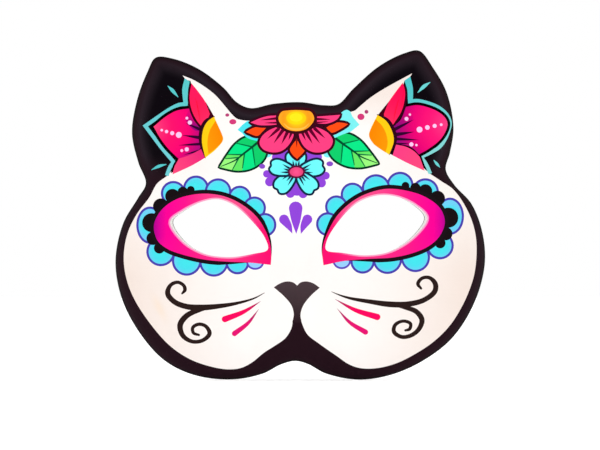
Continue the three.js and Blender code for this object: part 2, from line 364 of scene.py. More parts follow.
def place(shape, base, angle, length, width):
    """Puts a shape drawn along x from 0 to 1, with its half-width up to 0.5, at a place, angle and size."""
    u = np.array(shape, float) * (length, width)
    a = math.radians(angle)
    return np.stack([base[0] + u[:, 0] * math.cos(a) - u[:, 1] * math.sin(a),
                     base[1] + u[:, 0] * math.sin(a) + u[:, 1] * math.cos(a)], axis=1)


def blend(low, high, share):
    """Colours between low and high; share is one number, or one for each point."""
    share = np.asarray(share, float)[..., None]
    return np.asarray(low, float) * (1 - share) + np.asarray(high, float) * share


def ramp(places, colours):
    """Colours by their place on a run."""
    colours = np.array(colours, float)
    return lambda t: np.stack([np.interp(t, places, colours[:, k]) for k in range(3)], axis=-1)


def shade(start, end, *colours):
    """A paint that runs evenly through its colours along the line from start to end."""
    start, axis = np.array(start, float), np.subtract(end, start).astype(float)
    colour_at = ramp(np.linspace(0, 1, len(colours)), colours)
    return lambda x, z: colour_at(((x - start[0]) * axis[0] + (z - start[1]) * axis[1]) / (axis @ axis))


def glow(centre, radius, *colours):
    """A paint that runs evenly through its colours from a centre out to a radius."""
    colour_at = ramp(np.linspace(0, 1, len(colours)), colours)
    return lambda x, z: colour_at(np.hypot(x - centre[0], z - centre[1]) / radius)


def cut(points, origin, direction):
    """The part of a closed outline on the side of a line that direction points to."""
    points, kept = np.array(points, float), []
    height = (points - origin) @ np.array(direction, float)
    for i, (p, h) in enumerate(zip(points, height)):
        q, g = points[i - 1], height[i - 1]
        if (h > 0) != (g > 0):
            kept.append(q + (p - q) * g / (g - h))
        if h > 0:
            kept.append(p)
    return np.array(kept)


# ---------------------------------------------------------------- the print

INK = (34, 16, 24)
INK_DEEP = (2, 0, 2)
# painted shade: darker ink along the outer edge, where the border rolls back away from the light
INK_EDGE_SHADE = (12, 4, 6)
# painted highlight: lighter ink along the raised rim inside the ears
INK_EAR_RIM_HIGHLIGHT = (40, 31, 38)
# painted shade: darker ink in the hollow of the ears
INK_EAR_HOLLOW_SHADE = (9, 4, 10)
PURPLE = (141, 68, 212)
SCALLOP_LINE = (72, 62, 168)
EAR_CYAN = (84, 194, 196)
FLOWER_PINK = (255, 62, 126)
WINE = (92, 0, 40)
NAVY = (18, 38, 66)


def border_ink_with_painted_light(x, z):
    """Black with painted light: painted shade darker at the very edge where the border rolls back, and in
    the ears a painted highlight on the softer raised rim with painted shade darker again in the hollow
    inside it.
    """
    inset = nearest_edge(np.stack([x, z], axis=1))[0]
    ear = np.clip((z - 24) / 14, 0, 1)
    # painted shade: the plain border darkens at the very edge, where it rolls back
    plain = ramp([0, 0.5, 1.2, 3], [INK_EDGE_SHADE, INK_EDGE_SHADE, INK, INK])(inset)
    # in the ears: a lighter painted highlight on the raised rim, then darker painted shade in the hollow
    # inside it
    rim = ramp([0, 0.5, 1.4, 4.5, 10, 13], [INK_EDGE_SHADE, INK_EDGE_SHADE, INK, INK_EAR_RIM_HIGHLIGHT, INK_EAR_HOLLOW_SHADE, INK_EAR_HOLLOW_SHADE])(inset)
    return blend(plain, rim, ear)


def face_white_with_painted_shade(x, z):
    """Warm white with painted shade: a little pinker and darker towards the outer cheeks, which turn away
    from the light, and on the white band of the ears, strongest on the right.
    """
    # painted shade: pinker and darker towards the outer cheeks, which turn away from the light
    cheek = np.clip((np.abs(x) - 28) / 66, 0, 1) ** 1.3 * np.clip((32 - z) / 62, 0.3, 1)
    # painted shade on the white band of the ears, strongest on the right
    ear = np.clip((z - 52) / 20, 0, 1) * np.clip(x / 30, 0.25, 1) * 0.8
    white = blend((248, 243, 240), (236, 221, 212), np.maximum(cheek, ear))
    crease = 0.6 * bell(x + 77 + (z + 48) * 0.45, 2.2) * bell(z + 48, 6)
    return blend(white, (242, 220, 198), crease)


def print_face():
    left = [
        (-0.2, -50), (-1.9, -53.5), (-3.2, -59.5), (-6.5, -64.8), (-12, -68.8), (-18.5, -73), (-25, -78.3),
        (-31, -81.4), (-38, -82.3), (-48, -80.8), (-60, -76.6), (-71, -69.3), (-81.5, -57.8), (-91, -43.6),
        (-95.6, -32), (-97.2, -20), (-95.2, -7), (-90, 4), (-82.5, 14), (-78.3, 21.4), (-72.5, 25.8),
    ]
    left_band = [(-64, 82), (-57.8, 79.4), (-51.3, 75.4), (-45.3, 70.6), (-39.6, 64), (-36, 59.8),
                 (-33.4, 57.6), (-29, 56.6), (-24, 56.5)]
    right_band = [(32.5, 62.2), (36.8, 66), (41.5, 69.8), (48.6, 74.4), (57.5, 79.4), (64.5, 83.2)]
    right = [
        (74.5, 26.9), (80.8, 22.8), (87.6, 18.2), (94, 9.5), (98.4, 0), (100.5, -9), (100.8, -18.5),
        (99.6, -29), (97, -37.5), (93, -46.5), (86, -57.6), (77, -66.6), (67, -73.3), (56, -78.8),
        (45, -81.6), (35.5, -81.6), (29, -79.4), (22, -74.6), (12.6, -68), (5.8, -62.6), (3, -57),
        (1.7, -52.5), (0.4, -50),
    ]
    under_left_ear = [(-60, 40), (-58, 62)]
    under_left_tip = [(-60, 76.5)]
    under_crown = [(-20, 50), (20, 52)]
    under_right_ear = [(57, 50), (64, 36)]
    lay(run(left, under_left_ear, under_left_tip, left_band, under_crown, [(25.5, 60)], right_band,
            [(60, 76)], under_right_ear, right), face_white_with_painted_shade)


def print_nose():
    lobes = [(-12.9, -36.4), (-9.4, -34.2), (-5.5, -33.1), (-2, -33.7), (0.1, -35.4)]
    other = [(0.1, -35.4), (2, -33.7), (5.4, -33.1), (9.2, -34.2), (12.7, -36.6)]
    down = [(12.7, -36.6), (7.4, -41.4), (3.5, -46.6), (2, -51.5), (2.6, -56)]
    back = [(-2.6, -56), (-1.8, -51.5), (-3, -46.6), (-7.2, -41.4), (-12.9, -36.4)]
    # painted highlight: the nose ink is lighter at its top, as sheen, and darkens down the stem to the
    # plain ink
    lay(run(lobes, other, down, back), shade((0, -33), (0, -60), (70, 56, 61), (60, 46, 50), INK))


# Each scallop: x, z, radius across and radius up.
LEFT_SCALLOPS = [
    (-69.1, 16, 6.2, 6.1), (-56.4, 18.7, 6.4, 6.4), (-44, 17.1, 6.6, 6.4), (-31.9, 13.8, 5.6, 5.6),
    (-23.7, 7.8, 5.6, 5.6), (-17.9, -1.6, 5.6, 5.8), (-82.3, -1.8, 6.9, 9.6), (-76.2, -16.6, 7.3, 7.3),
    (-61.6, -21.6, 7.5, 7.6), (-46.4, -22.4, 7.3, 7.3), (-33.2, -22.6, 5.8, 5.8),
]
RIGHT_SCALLOPS = [
    (71.8, 16.8, 6.8, 6.8), (57.6, 20.5, 6.7, 6.7), (44.1, 19, 7.1, 6.8), (31, 15.3, 5.8, 5.8),
    (22, 8.5, 5.5, 5.5), (17.1, -1.2, 5.6, 5.8), (85.7, 3.2, 7.1, 9.6), (80.1, -13.2, 6.9, 6.9),
    (66.2, -19.8, 7.4, 7.4), (50.5, -20.8, 7.4, 7.4), (36.6, -22, 6, 6),
]
LEFT_PALE_SCALLOP, RIGHT_PALE_SCALLOP = (-23.3, -22.4, 4.3, 3.6), (25, -21.8, 4.4, 3.8)
LEFT_LACE = [
    (-81.4, -0.4, 5.3), (-76.2, 8.8, 4.4), (-69.6, 14.4, 4.1), (-63.8, 16.8, 2.9), (-59.3, 17.9, 2.2),
    (-80.6, -9.2, 3.7), (-77, -14.6, 3.1),
]
RIGHT_LACE = [
    (84.8, 2.4, 5.6), (78.6, 13.2, 4.3), (71.8, 17.2, 3.9), (66.2, 19, 2.9), (60.6, 20.2, 2.2),
    (83.4, -6.6, 3.7), (80.2, -11.8, 3),
]
LEFT_SOCKET = [
    (-14.6, -23.9), (-14.3, -18.5), (-15.1, -11.7), (-17.8, -4.4), (-22.6, 3), (-30, 9.3), (-39, 13.8),
    (-48.5, 15.7), (-58.5, 15.2), (-68.4, 12.2), (-76.2, 6.2), (-80.1, -2), (-78, -10.4), (-72.5, -15),
    (-64, -18.2), (-51, -21.1), (-38, -22.2), (-26, -22.7), (-14.6, -23.9),
]
RIGHT_SOCKET = [
    (14.8, -24.1), (14.1, -17), (14.8, -12), (18, -4), (23, 4.2), (32, 12.2), (41, 16.5), (50.3, 18.5),
    (60.5, 17.6), (71.3, 14.2), (80, 7.8), (82.8, 0), (79.8, -8), (73.5, -13.6), (64, -17.6),
    (53, -19.9), (40, -20.6), (26, -21.8), (14.8, -24.1),
]


def socket_paint(side):
    """Pink that turns magenta at the outer end of the eye and salmon along the inner brow."""
    reach = 78 if side < 0 else 81.5
    outer_end = ramp([-0.06, 0.01, 0.1, 0.35, 0.62, 1],
                     [(150, 0, 130), (205, 0, 146), (252, 0, 144),
                      (248, 28, 130), (242, 50, 130), (252, 16, 108)])

    def paint(x, z):
        t = (reach - np.abs(x)) / 62
        colour = outer_end(t)
        salmon = np.clip((z + 4) / 12, 0, 1) * np.clip((62 - np.abs(x)) / 26, 0, 1)
        tilt = np.clip((-z - 8) / 12, 0, 1) * np.clip((np.abs(x) - 62) / 16, 0, 1)
        colour = blend(colour, (242, 78, 136), salmon)
        return blend(colour, (255, 20, 140), tilt)

    return paint


def cut_edge_paint(side):
    """The socket's pink paling towards the cut edge of the opening, except at the inner corner."""
    pink = socket_paint(side)
    return lambda x, z: blend(pink(x, z), (255, 226, 232), np.clip((np.abs(x) - 20) / 14, 0, 1) * 0.62)


def print_eye(side, scallops, pale, lace, socket):
    for x, z, rx, rz in scallops:
        paint = glow((x, z), rx, (66, 226, 228), (68, 222, 230), (70, 218, 230), (108, 202, 238))
        inked(disc(x, z, rx - 0.45, rz - 0.45), paint, SCALLOP_LINE, 1.3)
    x, z, rx, rz = pale
    inked(disc(x, z, rx - 0.4, rz - 0.4), (150, 202, 250), (92, 72, 184), 1.1)
    for x, z, radius in lace:
        lay(disc(x, z, radius), (20, 12, 16))
    eye = run(socket)
    length = np.linspace(0, 1, len(eye))
    width = 2.2 * np.clip((length - 0.02) / 0.12, 0.02, 1) * np.clip((0.93 - length) / 0.1, 0.02, 1)
    lay(grow(eye, width), (24, 14, 20))
    lay(eye, socket_paint(side))
    lay(grow(OPENINGS[side > 0], 0.8), cut_edge_paint(side))


BRUSH = 1.3  # scales the widths of the whisker curls


def print_whiskers():
    """Two curls and two pink drops on each cheek."""
    strokes = [
        ([(-18.1, -39.5), (-24, -42.6), (-33, -45.2), (-43, -46.9), (-54, -47.8), (-62, -47.2),
          (-68.6, -44.6), (-72.3, -40), (-70.8, -35.5), (-66.8, -33.7), (-63.3, -35.5), (-62.6, -38),
          (-64.2, -40)],
         [0.2, 0.7, 1.3, 2.0, 2.6, 2.4, 2.3, 2.3, 1.7, 1.5, 1.5, 1.6, 0.8]),
        ([(-44, -46.8), (-54.1, -49), (-61.6, -52.4), (-65.3, -57.6), (-63.8, -63.5), (-58.6, -66.8),
          (-52.6, -66.1), (-48.8, -62.3), (-50.8, -58.3), (-54.8, -57.1), (-58.2, -59), (-57.8, -62),
          (-54.8, -63.1)],
         [0.6, 1.9, 2.4, 2.5, 2.1, 1.7, 1.7, 1.9, 1.6, 1.5, 1.5, 1.4, 1.0]),
        ([(19.3, -38.9), (24.5, -41), (30, -42.6), (41.1, -44.5), (52.3, -46), (62.1, -45.9), (71.1, -43.6),
          (77.1, -38.8), (77.4, -34.6), (74.1, -31.2), (69.9, -31.5), (67.6, -34.6), (69.4, -37.2)],
         [0.2, 0.7, 1.2, 1.9, 2.5, 2.4, 2.2, 2.3, 2.2, 1.6, 1.5, 1.6, 1.0]),
        ([(54, -46.4), (60.5, -47.8), (66.8, -50.2), (69.9, -54.8), (68.1, -60), (63.6, -63.5),
          (58.4, -64.2), (54.2, -61.4), (54.8, -57.6), (59.1, -55.4), (63.4, -56.8), (63, -59.8),
          (60.6, -60.6)],
         [0.8, 1.8, 2.2, 2.3, 2.0, 1.8, 1.7, 1.8, 1.6, 1.4, 1.5, 1.4, 1.0]),
    ]
    for points, widths in strokes:
        lay(stroke(points, [BRUSH * w for w in widths]), (40, 26, 24))
    drops = [
        ((-20.2, -44.2), (-40.2, -54.2), 1.75, 1.0, (255, 6, 92)),
        ((-21.3, -48.6), (-34.8, -62.2), 1.5, 1.2, (222, 18, 110)),
        ((21.2, -43), (44.8, -53), 1.8, -1.2, (255, 6, 92)),
        ((22.4, -48.3), (38.2, -61.4), 1.5, -1.4, (222, 18, 110)),
    ]
    for tip, end, radius, bow, colour in drops:
        lay(drop(tip, end, radius, bow), shade(tip, end, (150, 40, 96), colour, colour))


def print_brow_drops():
    lay(drop((-0.4, -6.6), (-0.7, 7.6), 3.8), PURPLE)
    lay(drop((-2.6, -6.4), (-7.2, 1.4), 2.75, -0.4), PURPLE)
    lay(drop((2.2, -6.6), (5.8, 1.4), 2.75, 0.4), PURPLE)


# A petal with a notched end, drawn along x.
HEART_PETAL = [
    (0.14, 0.0), (0.22, 0.26), (0.42, 0.4), (0.68, 0.49), (0.86, 0.45), (0.98, 0.25), (0.94, 0.03),
    (0.94, -0.03), (0.98, -0.25), (0.86, -0.45), (0.68, -0.49), (0.42, -0.4), (0.22, -0.26),
]
SMALL_CENTRE = (-0.3, 27.9)
SMALL_PETALS = [(92, 11.4, 10.6), (13, 15.4, 8.6), (-46, 14.6, 8.8), (-137, 14.8, 8.8), (166, 14.9, 8.2)]


def print_small_flower():
    backing = [
        (-11.4, 36, 2.6), (-8.6, 37.2, 2.9), (-5, 36.5, 4.2), (11.4, 36.2, 2.6), (8.6, 37.4, 2.9),
        (5, 36.5, 4.2), (-16.8, 26.8, 2.1), (-15.2, 22.4, 2.6), (-12, 24.6, 4.4), (16.1, 25.8, 2.2),
        (13.6, 21.8, 2.6), (11.4, 24.6, 4.4), (-3.7, 15.9, 2.5), (3.4, 15.7, 2.5), (0, 19, 4.4),
    ]
    for x, z, radius in backing:
        lay(disc(x, z, radius), PURPLE)
    lay(disc(-19.4, 31, 1.7, 1.4), (134, 74, 196))
    lay(disc(18.3, 32.4, 1.9, 1.4), (134, 74, 196))
    lay(disc(*SMALL_CENTRE, 6.6, 5.6), NAVY)
    for angle, length, width in SMALL_PETALS:
        petal = smooth(place(HEART_PETAL, SMALL_CENTRE, angle, length, width), step=0.6)
        inked(petal, glow(SMALL_CENTRE, 15, (84, 216, 226), (106, 242, 246), (112, 248, 250)), NAVY, 1.25)
    for angle, length, width in SMALL_PETALS:
        for spread, reach, thick in ((-15, 0.6, 1.35), (0, 0.5, 1.35), (15, 0.6, 1.35)):
            a = math.radians(angle + spread)
            end = np.add(SMALL_CENTRE, (length * reach * math.cos(a), length * reach * math.sin(a)))
            b = math.radians(angle + spread * 1.3)
            start = np.add(SMALL_CENTRE, (4 * math.cos(b), 3 * math.sin(b)))
            lay(taper(start, end, thick), NAVY)
    heart = glow(SMALL_CENTRE, 4.2, (250, 84, 142), (216, 60, 112))
    inked(disc(*SMALL_CENTRE, 3.8, 2.6), heart, (84, 14, 50), 1.0)


# A leaf drawn along x from its base to its tip.
LEAF = [
    (-0.04, -0.2), (0.1, -0.45), (0.3, -0.53), (0.52, -0.46), (0.76, -0.25), (1, 0),
]
LEAF_BACK = [(1, 0), (0.7, 0.33), (0.43, 0.45), (0.16, 0.38), (0.0, 0.16), (-0.04, -0.2)]
LEAF_RIB = [(0.02, -0.26), (0.22, -0.17), (0.47, -0.07), (0.64, 0.0), (0.97, 0.0)]
LEAF_GREENS = [(14, 200, 104), (8, 226, 132), (98, 226, 96), (150, 242, 122)]
LEAF_VEIN = (0, 112, 62)
LEAF_LINE = (0, 50, 32)


def print_leaf(base, tip, width):
    """One leaf; a negative width mirrors it. Its greens change at the side veins."""
    axis = np.subtract(tip, base)
    length, angle = np.hypot(*axis), math.degrees(math.atan2(axis[1], axis[0]))
    put = lambda rows: place(rows, base, angle, length, width)
    outline = run(put(LEAF), put(LEAF_BACK))
    lay(grow(outline, 1.2), LEAF_LINE)
    lay(outline, LEAF_GREENS[0])
    # where the side veins leave the rib and reach the edge, on both sides
    upper = [((0.23, -0.18), (0.52, -0.52)), ((0.47, -0.07), (0.76, -0.28)), ((0.56, -0.03), (0.84, -0.18))]
    lower = [((0.22, -0.16), (0.33, 0.46)), ((0.42, -0.08), (0.59, 0.36)), ((0.56, -0.03), (0.8, 0.27))]
    rib = put(LEAF_RIB)
    veins = []
    for half, rows in ((run(put(LEAF), rib[::-1]), upper), (run(rib, put(LEAF_BACK)), lower)):
        for (near, far), green in zip(rows, LEAF_GREENS[1:]):
            a, b = put([near, far])
            across = np.array([-(b - a)[1], (b - a)[0]])
            half = cut(half, a, across * (1 if across @ axis > 0 else -1))
            lay(half, green)
            veins.append((a, b))
    for a, b in veins:
        lay(stroke([a, (a + b) / 2, a + (b - a) * 0.92], [0.85, 0.7, 0.5]), LEAF_VEIN)
    lay(stroke(rib, [1.5, 1.25, 1.05, 0.8, 0.4]), (0, 74, 44))


def print_crown_leaves():
    for x in (-16.6, 17.2):
        lay(disc(x, 37.6, 2.4, 1.7), (120, 236, 240))
    print_leaf((-18.2, 41.6), (-43.2, 30.6), 17.4)
    print_leaf((18.6, 43.2), (45.4, 32.6), -17.4)
    left = run([(-16, 48)], [(-20, 56)], [(-27.8, 56.3), (-30.4, 54.2), (-33.2, 51.4)],
               [(-30.6, 49.6), (-29.2, 48), (-26.5, 46.3), (-21.3, 45)])
    lay(left, shade((-34, 50), (-20, 52), (78, 222, 232), (60, 224, 234)))
    right = run([(16, 56)], [(22, 58)], [(23.6, 58.8), (24.9, 61.1), (27.8, 62.6), (29.8, 61.6)],
                [(31, 58.8), (34.9, 54.3)], [(30.1, 50.4), (25, 48.6), (20.7, 46.6)], [(18, 48)])
    lay(right, shade((20, 50), (34, 56), (110, 236, 240), (124, 234, 234)))


# Petals of the crown flower: closed outlines, and the dark wedges that run out from its centre.
CROWN_PINK = [
    [[(-11.4, 54.3), (-16, 53.9), (-21.5, 54.1), (-26, 55.5)],
     [(-26, 55.5), (-20.4, 57.9), (-16, 59.1), (-11.6, 59.4)]],
    [[(24.2, 59.8), (22.4, 57.3), (17, 54.9), (11.2, 55)], [(11.2, 58.8), (18, 59.3), (24.2, 59.8)]],
    [[(-11.8, 52.8), (-16.1, 50.8), (-19.9, 47.2), (-20.8, 43.6), (-18.6, 40.4), (-13.4, 38.8),
      (-8.6, 39.6), (-4.4, 43.2), (-1.9, 48.2), (-2.2, 50.4)], [(-6, 51)]],
    [[(1, 49.8), (1.6, 46.4), (4.2, 41.8), (8.6, 39.1), (13.9, 39), (18.5, 41.4), (20, 45.4), (17.8, 49.2),
      (13.9, 51.7), (10.8, 52.9)], [(6, 51)]],
]
CROWN_ORANGE = [
    ([(-28.6, 50.2), (-23.4, 52.8), (-16.8, 53)],
     [(-16.8, 53), (-19.6, 50), (-22, 48), (-28.6, 50.2)]),
    ([(16.4, 52.6), (20.8, 55.2), (25, 55.4), (28.6, 54.6)],
     [(28.6, 54.6), (24.6, 52), (19.2, 49.8), (16.4, 52.6)]),
    ([(0.1, 35.1), (-2.4, 37.4), (-3.9, 40.4), (-2.4, 43.2), (-0.2, 46)],
     [(-0.2, 46), (2, 43), (4.3, 40.2), (0.1, 35.1)]),
]
CROWN_WEDGES = [
    ((-10.4, 57.9), (-20.4, 56.8), 1.5), ((-10.2, 55.4), (-18.4, 55.2), 1.2), ((10.4, 57.4),
    (18.6, 57.2), 1.5), ((10.4, 55.4), (17.4, 56), 1.0), ((-10.4, 51.8), (-16.4, 46.4), 1.9), ((-8, 51),
    (-13, 43.8), 2.0), ((-5.2, 50.4), (-8.6, 43.4), 2.0), ((-3, 50), (-4.7, 45.6), 1.6), ((2.9, 50),
    (4.9, 45.4), 1.6), ((4.9, 50.4), (8.7, 43.6), 2.0), ((7.6, 51), (12.8, 43.8), 2.0), ((10, 52),
    (15.8, 46.6), 1.9),
]


def print_crown_petals():
    lay(disc(-0.3, 52, 15, 5.5), WINE)
    lay(run([(-5, 51)], [(4.6, 51)], [(3.4, 42.4)], [(0, 39)], [(-3.4, 42.4)]), (58, 8, 24))
    for upper, lower in CROWN_ORANGE:
        inked(run(upper, lower), (255, 74, 18), (58, 8, 16), 1.4)
    lay(taper((-0.2, 46), (-0.1, 41.4), 1.0), (120, 20, 20))
    for outline in CROWN_PINK:
        inked(run(*outline), FLOWER_PINK, (52, 6, 26), 1.4)
    for start, end, thick in CROWN_WEDGES:
        lay(taper(start, end, thick), WINE)
    centre = [(-10.3, 57.4), (-8.6, 61.4), (-5, 62.2), (4, 62.2), (7.8, 61.4), (9.6, 57.4), (6, 52.4),
              (-0.3, 50.6), (-6.8, 52.4)]
    amber = glow((-0.3, 57.6), 10.5, (255, 214, 20), (255, 196, 26), (255, 150, 26), (255, 172, 40))
    inked(smooth(centre), amber, (58, 8, 20), 1.6)
    under = [(-7.4, 55), (-4.4, 52.4), (-0.3, 51.6), (3.8, 52.4), (6.8, 55)]
    lay(stroke(under, [0.2, 0.9, 1.2, 0.9, 0.2]), (255, 190, 74))
    yolk = glow((-0.4, 57.9), 5.6, (255, 228, 30), (255, 216, 16), (255, 200, 16))
    lay(disc(-0.4, 57.9, 5.6, 3.6), yolk)
    lay(disc(-0.5, 58.3, 3.6, 2.3), (255, 230, 28))


EAR_DOT = (255, 198, 240)
SHADOW = (46, 0, 44)


def print_rim(arc, rest, inside, start, end):
    """The yellow disc that the ear petals grow from: a dark line, the rim, and its orange inside."""
    lay(stroke(arc, [0.8, 3.5, 4.0, 3.4, 0.5]), (44, 2, 22))
    lay(run(arc, rest), (255, 200, 16))
    lay(run(*inside), shade(start, end, (255, 148, 4), (255, 132, 0)))


LEFT_EAR = {
    "dark": [[(-62, 79.4)], [(-59.6, 79)], [(-57, 70)], [(-54, 55)], [(-58, 52)], [(-63.4, 66)]],
    "cyan": shade((-62, 80), (-80, 40), EAR_CYAN, (108, 200, 206)),
    "cyan tip": [[(-62.8, 80.4), (-64.2, 74.4), (-64, 70.4), (-63.6, 67)], [(-61.2, 65)],
                 [(-60.9, 68), (-61, 73), (-60, 78.6)]],
    "line width": 2.1,
    "line": [[(-61.2, 66), (-66, 65.6), (-71.2, 63.1), (-78, 58.6), (-85, 53.8)],
             [(-85, 53.8), (-81.5, 49.2), (-75.6, 41.4), (-69, 33.6)],
             [(-69, 33.6), (-71.1, 30.4), (-72.8, 25.9)]],
    "flecks": [([(-72.3, 76.2), (-69.7, 73.6), (-66.6, 70)], [0.3, 1.9, 0.4]),
               ([(-81.4, 29.2), (-77.2, 31.2), (-73.2, 32.2)], [0.3, 1.7, 0.4])],
    "fleck": EAR_CYAN,
    "lower": [[(-66, 35.4), (-60, 37.4), (-53, 41)], [(-53, 41), (-51, 36)],
              [(-51, 36), (-59, 31.4), (-69.6, 26.6)], [(-68.5, 31)]],
    "lower paint": shade((-69, 28), (-53, 38), (255, 70, 120), (230, 40, 120)),
    "lower edges": [(-0.9, 0.7)],
    "petal": [[(-80.3, 53.4), (-73, 59.3), (-67, 62.4), (-60, 63.5)],
              [(-60, 63.5), (-57.8, 57), (-52.6, 51.6)], [(-53.6, 42), (-56, 38)],
              [(-56, 38), (-61, 36.2), (-66, 35.2)],
              [(-66, 35.2), (-72.2, 41.2), (-76.6, 47), (-80.3, 53.4)]],
    "petal paint": glow((-80, 53), 30, (255, 66, 120), (255, 16, 106), (240, 0, 112), (150, 8, 122)),
    "petal line": 1.7,
    "fold": [[(-60.4, 62.6), (-58.6, 57.6), (-52.6, 51)],
             [(-52.6, 51), (-57.4, 51.4), (-62.4, 57.4), (-60.4, 62.6)]],
    "fold centre": (-54, 51),
    "wedges": [((-52, 50.8), (-62, 55.2), 2.0), ((-52, 46.8), (-64, 48.5), 2.2),
               ((-53, 43.6), (-66, 42.9), 1.7), ((-54, 40), (-63, 37.6), 1.3)],
    "crimson": [[(-59, 77.6), (-54.9, 72.5), (-51.1, 67), (-47.8, 60.2)],
                [(-47.8, 60.2), (-50.4, 57.2), (-53, 53)],
                [(-53, 53), (-56.2, 57), (-58.8, 62.4), (-60.1, 69.4), (-59, 77.6)]],
    "crimson edge": (-1.1, -0.6),
    "crimson paint": shade((-58, 76), (-51, 56), (255, 22, 92), (255, 26, 84), (255, 40, 96)),
    "crimson foot": [[(-51.2, 67.4), (-48.6, 63), (-46.2, 58.8)], [(-46.2, 58.8), (-50.2, 56.6)],
                     [(-48.7, 60.4), (-50, 64)]],
    "rim": ([(-46.3, 58.8), (-49.8, 56.3), (-52.2, 52.2), (-53.1, 45.2), (-51.2, 35.8)],
            [(-51.2, 35.8), (-45.4, 40.4), (-41.2, 46), (-42.4, 50), (-46.3, 58.8)],
            ([(-45.4, 56.6), (-48.7, 51), (-50, 44.6), (-49.4, 38)],
             [(-49.4, 38), (-45, 41.4), (-41.4, 46), (-45.4, 56.6)]), (-50, 46), (-42, 48)),
    "dots": [(-75.7, 51.4, 0.75), (-73, 50.6, 0.95), (-69.8, 49.7, 1.15), (-66.1, 48.7, 1.65),
             (-61.6, 58.1, 0.8), (-59.9, 55.6, 1.2), (-64.4, 39.9, 0.8), (-61.6, 40.6, 1.15)],
    "spots": [(-38.9, 59.7, 1.15, 0.95, (182, 66, 118)), (-35.8, 55.9, 2.0, 1.5, (206, 58, 118))],
}
RIGHT_EAR = {
    "dark": [[(62.4, 80.6)], [(60.2, 79.2)], [(57.4, 70)], [(53.6, 55)], [(58, 52)], [(64.4, 66)]],
    "cyan": shade((62, 80), (84, 44), (72, 190, 194), (128, 208, 206)),
    "cyan tip": [[(63.4, 81.4), (64.8, 75.4), (65, 71.4), (64.8, 68)], [(62.2, 66.2)],
                 [(62, 69), (61.7, 74), (60.1, 79.1)]],
    "line width": 2.0,
    "line": [[(62.3, 67.3), (67, 67.9), (73, 66.7), (79.6, 64), (84, 60.1), (85.8, 55.8), (85.1, 51.6),
              (83, 46.4), (79.8, 42), (75, 39), (69.4, 36.4)],
             [(69.4, 36.4), (72.4, 32), (74.6, 27)]],
    "flecks": [([(67.6, 72.4), (71, 75.8), (74.5, 78.2)], [0.3, 2.0, 0.4]),
               ([(76.6, 34.5), (78.4, 32.4), (80, 30.6)], [0.4, 1.5, 0.3])],
    "fleck": (104, 206, 206),
    "lower": [[(55.4, 43.2), (61, 42), (65.4, 39.6), (68.6, 36.4)], [(68.6, 36.4), (71.4, 28.6)],
              [(71.4, 28.6), (62, 32.8), (53.4, 37.2)]],
    "lower paint": shade((70, 30), (55, 40), (255, 70, 120), (250, 60, 130)),
    "lower edges": [(0.9, 0.7), (-1.6, 0.9)],
    "petal": [[(61, 64.4), (67, 65.4), (73, 64.3), (79.6, 61.4), (83.3, 58), (84.4, 54.8), (83, 50.2),
               (79.4, 45.3), (73.2, 40.6), (68.2, 37.8)],
              [(68.2, 37.8), (65, 41), (61.6, 42.7), (55.8, 43.4)], [(54.6, 48)],
              [(54, 53.6), (58, 57.2), (61, 64.4)]],
    "petal paint": glow((84, 55), 30, (240, 62, 128), (250, 22, 116), (228, 0, 114), (140, 8, 118)),
    "petal line": 1.6,
    "fold": [[(61.4, 63.6), (59, 57.6), (54, 52.8)],
             [(54, 52.8), (60, 53.6), (65, 58.4), (61.4, 63.6)]],
    "fold centre": (55, 52),
    "wedges": [((54, 51.4), (65.2, 57.2), 2.0), ((55, 48.8), (65.4, 50.4), 2.2),
               ((55, 46.4), (68, 45.9), 1.7), ((56, 43.6), (62.6, 43.9), 1.2)],
    "crimson": [[(59.2, 78), (60.5, 72.8), (60.1, 67.6), (58.3, 61.6), (53.6, 54.2)],
                [(53.6, 54.2), (48, 59.9)], [(48, 59.9), (50, 65), (53.6, 70.6), (59.2, 78)]],
    "crimson edge": (1.1, -0.6),
    "crimson paint": shade((59, 76), (53, 56), (255, 4, 78), (255, 18, 84), (255, 40, 92)),
    "crimson foot": [[(51.4, 67.4), (48, 63.2), (45.4, 60)], [(45.4, 60), (48.8, 57.6)],
                     [(48.6, 60.4), (50, 64)]],
    "rim": ([(45, 59.8), (49.8, 56.5), (53.1, 50.8), (54.1, 45.2), (51.5, 37.6)],
            [(51.5, 37.6), (47, 40.4), (42.4, 44), (40.2, 48.4), (41.4, 52.6), (45, 59.8)],
            ([(43.9, 57.4), (47.6, 53.6), (50, 48.6), (50.6, 43.6), (49.4, 38.8)],
             [(49.4, 38.8), (42.6, 43.9), (40.3, 48.4), (43.9, 57.4)]), (50, 46), (42, 48)),
    "dots": [(68.6, 51.7, 1.65), (73, 52.9, 1.3), (77.1, 53.8, 1.15), (80.8, 54.5, 0.8),
             (61.3, 57.7, 1.1), (63.2, 60.1, 0.65), (64, 43.4, 1.2), (66.8, 43, 0.7)],
    "spots": [(35.7, 58.7, 2.0, 1.8, (206, 56, 116)), (38.8, 61.5, 1.1, 1.1, (170, 62, 112))],
}


